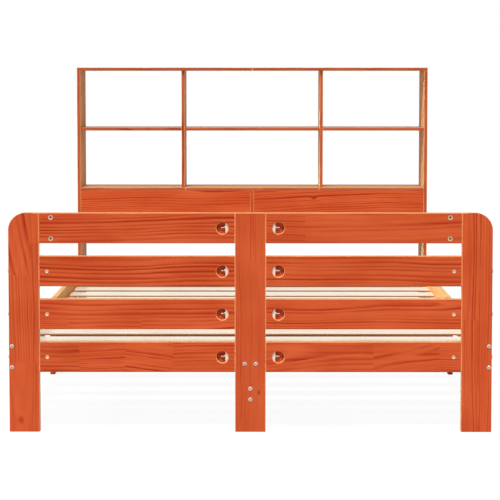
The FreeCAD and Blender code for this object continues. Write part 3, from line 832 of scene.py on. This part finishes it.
def cam_form():
    """Cam lock: a cast drum with a raised rim, a sunk face and a cross drive."""
    count = CAM_POINTS
    rings = [circle(count, 0.0, -0.0052)]
    for radius in CAM_DRIVE:
        sunk = cross_depth(count, radius, 0.0010, 0.0035, 0.0032)
        rings.append(circle(count, radius, -0.0018 + sunk))
    rings += [circle(count, 0.0047, -0.0018), circle(count, 0.0051, -0.0002),
              circle(count, 0.0056, 0.0), circle(count, 0.0070, 0.0),
              circle(count, CAM_RADIUS, -0.0006), circle(count, CAM_RADIUS, -CAM_DEPTH + 0.0006),
              circle(count, 0.0068, -CAM_DEPTH), circle(count, 0.0, -CAM_DEPTH)]
    return rings


def screw_form(length):
    """Countersunk screw with a cross recess, a tapered neck and a coarse thread."""
    count = 24
    rings = [circle(count, 0.0, -0.0016)]
    for radius in (0.0006, 0.0011, 0.0016, 0.0021, 0.0026):
        rings.append(circle(count, radius, cross_depth(count, radius, 0.0006, 0.0024, 0.0014)))
    rings += [circle(count, 0.0038, 0.0), circle(count, SCREW_HEAD, -0.0002),
              circle(count, SCREW_RADIUS, -SCREW_HEAD_DEPTH)]
    rings += thread(count, SCREW_RADIUS, -length * 0.45, -length + 0.003, 0.0022, 0.0006)
    rings += [circle(count, 0.0, -length)]
    return rings


def hex_nut_form():
    """Hexagon nut with its corners turned off at both faces, bored for the rod."""
    count = 36
    bore = CENTRE_ROD_RADIUS + 0.0001
    outer = hexagon(count, HEX_FLATS / 2)
    round_off = np.minimum(outer, HEX_FLATS / 2 * 1.04)
    return [circle(count, bore, 0.0), circle(count, bore, HEX_THICK - 0.0005),
            circle(count, bore + 0.0005, HEX_THICK), circle(count, round_off, HEX_THICK),
            circle(count, outer, HEX_THICK - 0.0006), circle(count, outer, 0.0006),
            circle(count, round_off, 0.0), circle(count, bore, 0.0)]


def rod_form(length, radius=ROD_RADIUS):
    """Threaded rod from its middle: threads near both tips, plain where the wood hides it."""
    count = 18
    half = length / 2
    tip = radius - 0.0005
    rings = [circle(count, 0.0, half), circle(count, tip, half)]
    rings += thread(count, radius, half - 0.0006, half - 0.012, 0.001, 0.0004)
    rings += thread(count, radius, -half + 0.012, -half + 0.0006, 0.001, 0.0004)
    rings += [circle(count, tip, -half), circle(count, 0.0, -half)]
    return rings


def joined(*groups):
    """Several lots of copies as one mesh."""
    points = []
    faces = []
    start = 0
    for group_points, group_faces in groups:
        points.append(group_points)
        faces += [[start + corner for corner in face] for face in group_faces]
        start += len(group_points)
    return np.concatenate(points), faces


def make_bolts(zinc):
    """Head bolts on the foot board's face and in the frame below, and in the outer edges."""
    reach = NUT_SET_BACK + BOLT_TIP
    front = [((side * RAIL_MIDDLE, FOOT_FRONT, level), (0, -1, 0))
             for _, side in SIDES for level in SIDE_LEVELS]
    front += [((x, FOOT_FRONT, BEAM_LEVEL), (0, -1, 0)) for x in BEAM_BOLTS]
    front += [((0, FOOT_FRONT, level), (0, -1, 0)) for level in STRETCHER_LEVELS]
    back = [((x, BOOK_FRONT + FRAME_THICK, BEAM_LEVEL), (0, 1, 0)) for x in BEAM_BOLTS]
    legs = [((side * HALF_WIDTH, LEG_MIDDLE, level), (side, 0, 0))
            for _, side in SIDES for level in STRETCHER_LEVELS]
    points, faces = joined(copies(bolt_form(FOOT_THICK + reach), front),
                           copies(bolt_form(FRAME_THICK + reach), back + legs))
    piece("frame_bolt_set", points, faces, zinc, "frame_bolts")
    edge = [((side * HALF_WIDTH, FOOT_MIDDLE, level), (side, 0, 0))
            for _, side in SIDES for level in RAIL_HEIGHTS[1:]]
    head = [((0, BOOK_FRONT + HEAD_POST_DEPTH, level), (0, 1, 0)) for level in STRETCHER_LEVELS]
    points, faces = joined(copies(bolt_form(POST_WIDTH + reach), edge),
                           copies(bolt_form(HEAD_POST_DEPTH + reach), head))
    piece("edge_bolt_set", points, faces, zinc, "edge_bolts")


def make_barrel_nuts(zinc):
    """Cross nuts: in the foot rails' faces, the side rails' inner faces and the frame below."""
    seats = [((side * (POST_INNER - NUT_SET_BACK), FOOT_FRONT + NUT_RECESS, level), (0, -1, 0))
             for _, side in SIDES for level in RAIL_HEIGHTS[1:]]
    runs = (FOOT_BACK + NUT_SET_BACK, LEG_FRONT - NUT_SET_BACK, LEG_BACK + NUT_SET_BACK)
    seats += [((side * (RAIL_INNER + NUT_RECESS), run, level), (-side, 0, 0))
              for _, side in SIDES for level in SIDE_LEVELS for run in runs]
    recess = (BEAM_HEIGHT - NUT_LENGTH) / 2
    seats += [((x, run, BEAM_BOTTOM + recess), (0, 0, -1)) for x in BEAM_BOLTS
              for run in (FOOT_BACK + NUT_SET_BACK, BOOK_FRONT - NUT_SET_BACK)]
    runs = (FOOT_BACK + NUT_SET_BACK, LEG_MIDDLE - HALF_CENTRE_LEG - NUT_SET_BACK,
            LEG_MIDDLE + HALF_CENTRE_LEG + NUT_SET_BACK, BOOK_FRONT - NUT_SET_BACK)
    seats += [((NUT_RECESS - FRAME_THICK / 2, run, level), (-1, 0, 0))
              for level in STRETCHER_LEVELS for run in runs]
    back = LEG_MIDDLE + FRAME_THICK / 2 - NUT_RECESS
    seats += [((side * (HALF_CENTRE_LEG + NUT_SET_BACK), back, STRETCHER_MIDDLE), (0, 1, 0))
              for _, side in SIDES]
    seats += [((side * (RAIL_INNER - NUT_SET_BACK), back, level), (0, 1, 0))
              for _, side in SIDES for level in STRETCHER_LEVELS]
    points, faces = copies(barrel_form(), seats)
    piece("barrel_nut_set", points, faces, zinc, "barrel_nuts")


def make_cams(cast, drive):
    """Cam locks, whose sunk drive is the first faces of each copy and carries painted shade."""
    seats = [((side * (POST_INNER - CAM_SET_BACK), FOOT_FRONT + CAM_RECESS,
               RAIL_HEIGHTS[0] + rise), (0, -1, 0))
             for _, side in SIDES for rise in (-CAM_RISE, CAM_RISE)]
    points, faces = copies(cam_form(), seats)
    piece("cam_lock_set", points, faces, cast, "cam_locks",
          sunk=(CAM_POINTS * len(CAM_DRIVE), len(faces) // len(seats)), shaded_copy=drive)


def make_pocket_hardware(zinc):
    """Six-sided nuts in the pockets, and the threaded rods in the middle post and the legs."""
    seats = [((side * CRESCENT_FLAT, FOOT_MIDDLE, level), (side, 0, 0))
             for _, side in SIDES for level in RAIL_HEIGHTS]
    points, faces = copies(hex_nut_form(), seats)
    piece("rod_nut_set", points, faces, zinc, "tie_rod_nuts")
    centre = copies(rod_form(2 * (CRESCENT_FLAT + HEX_THICK + CENTRE_ROD_TIP), CENTRE_ROD_RADIUS),
                    [((0, FOOT_MIDDLE, level), (1, 0, 0)) for level in RAIL_HEIGHTS])
    through = HALF_LEG + NUT_SET_BACK + BOLT_TIP
    sides = copies(rod_form(2 * through), [((side * RAIL_MIDDLE, LEG_MIDDLE, level), (0, 1, 0))
                                           for _, side in SIDES for level in SIDE_LEVELS])
    short = HALF_CENTRE_LEG + NUT_SET_BACK + BOLT_TIP
    low = copies(rod_form(2 * short),
                 [((0, LEG_MIDDLE, level), (0, 1, 0)) for level in STRETCHER_LEVELS]
                 + [((0, LEG_MIDDLE, STRETCHER_MIDDLE), (1, 0, 0))])
    points, faces = joined(centre, sides, low)
    piece("tie_rod_set", points, faces, zinc, "tie_rods")


def make_screws(zinc):
    """Screws through the bookcase's sides, and in the slats, ledges and corner brackets."""
    rows = [(run, level) for level in (LOW_SHELF_LEVEL, MID_SHELF_LEVEL)
            for run in (BOOK_FRONT + SHELF_SCREW_INSET, BOOK_BACK - SHELF_SCREW_INSET)]
    in_front, in_back = BOOK_FRONT + FRAME_THICK / 2, BOOK_BACK - FRAME_THICK / 2
    for edge in (-1, 1):
        rows += [(in_front, APRON_MIDDLE + edge * APRON_SCREW_STEP),
                 (in_back, APRON_MIDDLE + edge * APRON_SCREW_STEP),
                 (in_front, SIDE_MIDDLE + edge * RAIL_SCREW_STEP)]
    panel = [((side * HALF_WIDTH, run, level), (side, 0, 0))
             for _, side in SIDES for run, level in rows]
    points, faces = copies(screw_form(PANEL_SCREW), panel)
    piece("panel_screw_set", points, faces, zinc, "panel_screws")
    slat = [((side * (RAIL_INNER - LEDGE_WIDTH / 2),
              SLAT_FIRST + number * SLAT_PITCH + SLAT_WIDTH / 2, SLAT_TOP), (0, 0, 1))
            for number in range(SLAT_COUNT) for _, side in SIDES]
    runs = (FOOT_BACK + LEDGE_SCREW_INSET, LEG_MIDDLE - LEDGE_SCREW_INSET,
            LEG_MIDDLE + LEDGE_SCREW_INSET, BOOK_FRONT - LEDGE_END_GAP - LEDGE_SCREW_INSET)
    ledge = [((side * (RAIL_INNER - LEDGE_WIDTH), run, LEDGE_LEVEL), (-side, 0, 0))
             for _, side in SIDES for run in runs]
    on_rail = [((side * (RAIL_INNER - BRACKET_THICK), BOOK_FRONT - BRACKET_SCREW_OUT, level),
                (-side, 0, 0)) for _, side in SIDES for level in BRACKET_SCREW_LEVELS]
    on_head = [((side * (RAIL_INNER - BRACKET_SCREW_OUT), BOOK_FRONT - BRACKET_THICK, level),
                (0, -1, 0)) for _, side in SIDES for level in BRACKET_SCREW_LEVELS]
    points, faces = joined(copies(screw_form(SLAT_SCREW), slat),
                           copies(screw_form(LEDGE_SCREW), ledge),
                           copies(screw_form(BRACKET_SCREW), on_rail + on_head))
    piece("wood_screw_set", points, faces, zinc, "wood_screws")


def make_hardware():
    """All the hardware, each kind in its own plating; the pocket nuts and rods in a shaded copy of
    the zinc, and the cams' drives in painted shade.
    """
    zinc = steel("bright_zinc", ZINC, ZINC_DARK, 3.0, metal=0.25, rough=0.32)
    # A shaded copy of the zinc for the pocket nuts and rods, with a painted highlight on the upper
    # side
    shaded_copy = steel("shaded_zinc", ZINC_DARK, shade(ZINC_DARK, 0.5), 4.0, metal=0.25,
                 rough=0.4, top=PALE_ZINC)
    pale = steel("pale_zinc", PALE_ZINC, PALE_ZINC_DARK, 5.0, metal=0.15, rough=0.38)
    cast = steel("cast_zinc", CAST_ZINC, CAST_ZINC_DARK, 9.0, metal=0.3, rough=0.36)
    # Painted shade for the cams' sunk drive
    drive = steel("drive_recess_shade", DRIVE_SHADE, shade(DRIVE_SHADE, 0.6), 7.0, metal=0.3,
                  rough=0.5)
    make_bolts(zinc)
    make_barrel_nuts(cast)
    make_cams(cast, drive)
    make_pocket_hardware(shaded_copy)
    make_screws(zinc)
    dress("crescent_washers", pale)
    for node in ("cam_pins", "corner_brackets"):
        dress(node, zinc)


# Lamps: name, level, spread in degrees, direction that the light comes from
LAMPS = (("front_lamp", 0.92, 12, (-0.05, -0.53, 0.845)),
         ("left_lamp", 0.45, 14, (-0.80, 0.03, 0.60)))

# Light from all round, and the floor: its grey, the white that the camera sees and how much of it
SOFT_LIGHT = 0.27
WHITE = (1.0, 1.0, 1.0, 1.0)
FLOOR_GREY = (0.6, 0.6, 0.6, 1.0)
FLOOR_GLOW = 1.045
FLOOR_SHOWN = 0.9
FLOOR_REACH = 30.0

# The camera: sensor and lens in millimetres, shift, place in metres, dip in degrees and turn
# in radians
SENSOR = 36.0
LENS = 125.365
LENS_SHIFT = -0.12
CAMERA_PLACE = (0.0198, -6.3371, 1.0543)
CAMERA_DIP = 3.533
CAMERA_TURN = 0.004


def make_floor():
    """A plain pale floor that keeps a soft shadow and shows white to the camera."""
    sheet = Sheet(bpy.data.materials.new("pale_floor"))
    matt = sheet.node("ShaderNodeBsdfDiffuse", {}, {"Color": FLOOR_GREY})
    white = sheet.node("ShaderNodeEmission", {}, {"Color": WHITE, "Strength": FLOOR_GLOW})
    mixed = sheet.node("ShaderNodeMixShader", {},
                       {0: sheet.seen() * FLOOR_SHOWN, 1: matt, 2: white})
    sheet.node("ShaderNodeOutputMaterial", {}, {"Surface": mixed})
    data = bpy.data.meshes.new("floor")
    corners = [(x * FLOOR_REACH, y * FLOOR_REACH, 0)
               for x, y in ((-1, -1), (1, -1), (1, 1), (-1, 1))]
    data.from_pydata(corners, [], [(0, 1, 2, 3)])
    data.materials.append(sheet.holder)
    floor = bpy.data.objects.new("floor", data)
    bpy.context.scene.collection.objects.link(floor)


def make_light():
    """Even light from all round, a broad lamp in front and a weaker one high on the left."""
    world = bpy.data.worlds.new("studio")
    bpy.context.scene.world = world
    sheet = Sheet(world)
    soft = sheet.node("ShaderNodeBackground", {}, {"Color": WHITE, "Strength": SOFT_LIGHT})
    plain = sheet.node("ShaderNodeBackground", {}, {"Color": WHITE, "Strength": 1.0})
    mixed = sheet.node("ShaderNodeMixShader", {}, {0: sheet.seen(), 1: soft, 2: plain})
    sheet.node("ShaderNodeOutputWorld", {}, {"Surface": mixed})
    for name, level, spread, towards in LAMPS:
        lamp = bpy.data.lights.new(name, "SUN")
        lamp.energy = math.pi * level
        lamp.angle = math.radians(spread)
        holder = bpy.data.objects.new(name, lamp)
        holder.rotation_mode = "QUATERNION"
        holder.rotation_quaternion = Vector(towards).to_track_quat("Z", "Y")
        bpy.context.scene.collection.objects.link(holder)


def make_camera():
    """The photograph's view: from the foot end, with a small downward shift of the lens."""
    data = bpy.data.cameras.new("camera")
    data.sensor_width = SENSOR
    data.lens = LENS
    data.shift_y = LENS_SHIFT
    data.clip_end = 100.0
    camera = bpy.data.objects.new("camera", data)
    camera.location = CAMERA_PLACE
    camera.rotation_euler = (math.radians(90 - CAMERA_DIP), 0, CAMERA_TURN)
    bpy.context.scene.collection.objects.link(camera)
    bpy.context.scene.camera = camera


bpy.context.scene.view_settings.view_transform = "Standard"
dress_boards()
dress_slats()
make_hardware()
make_floor()
make_light()
make_camera()
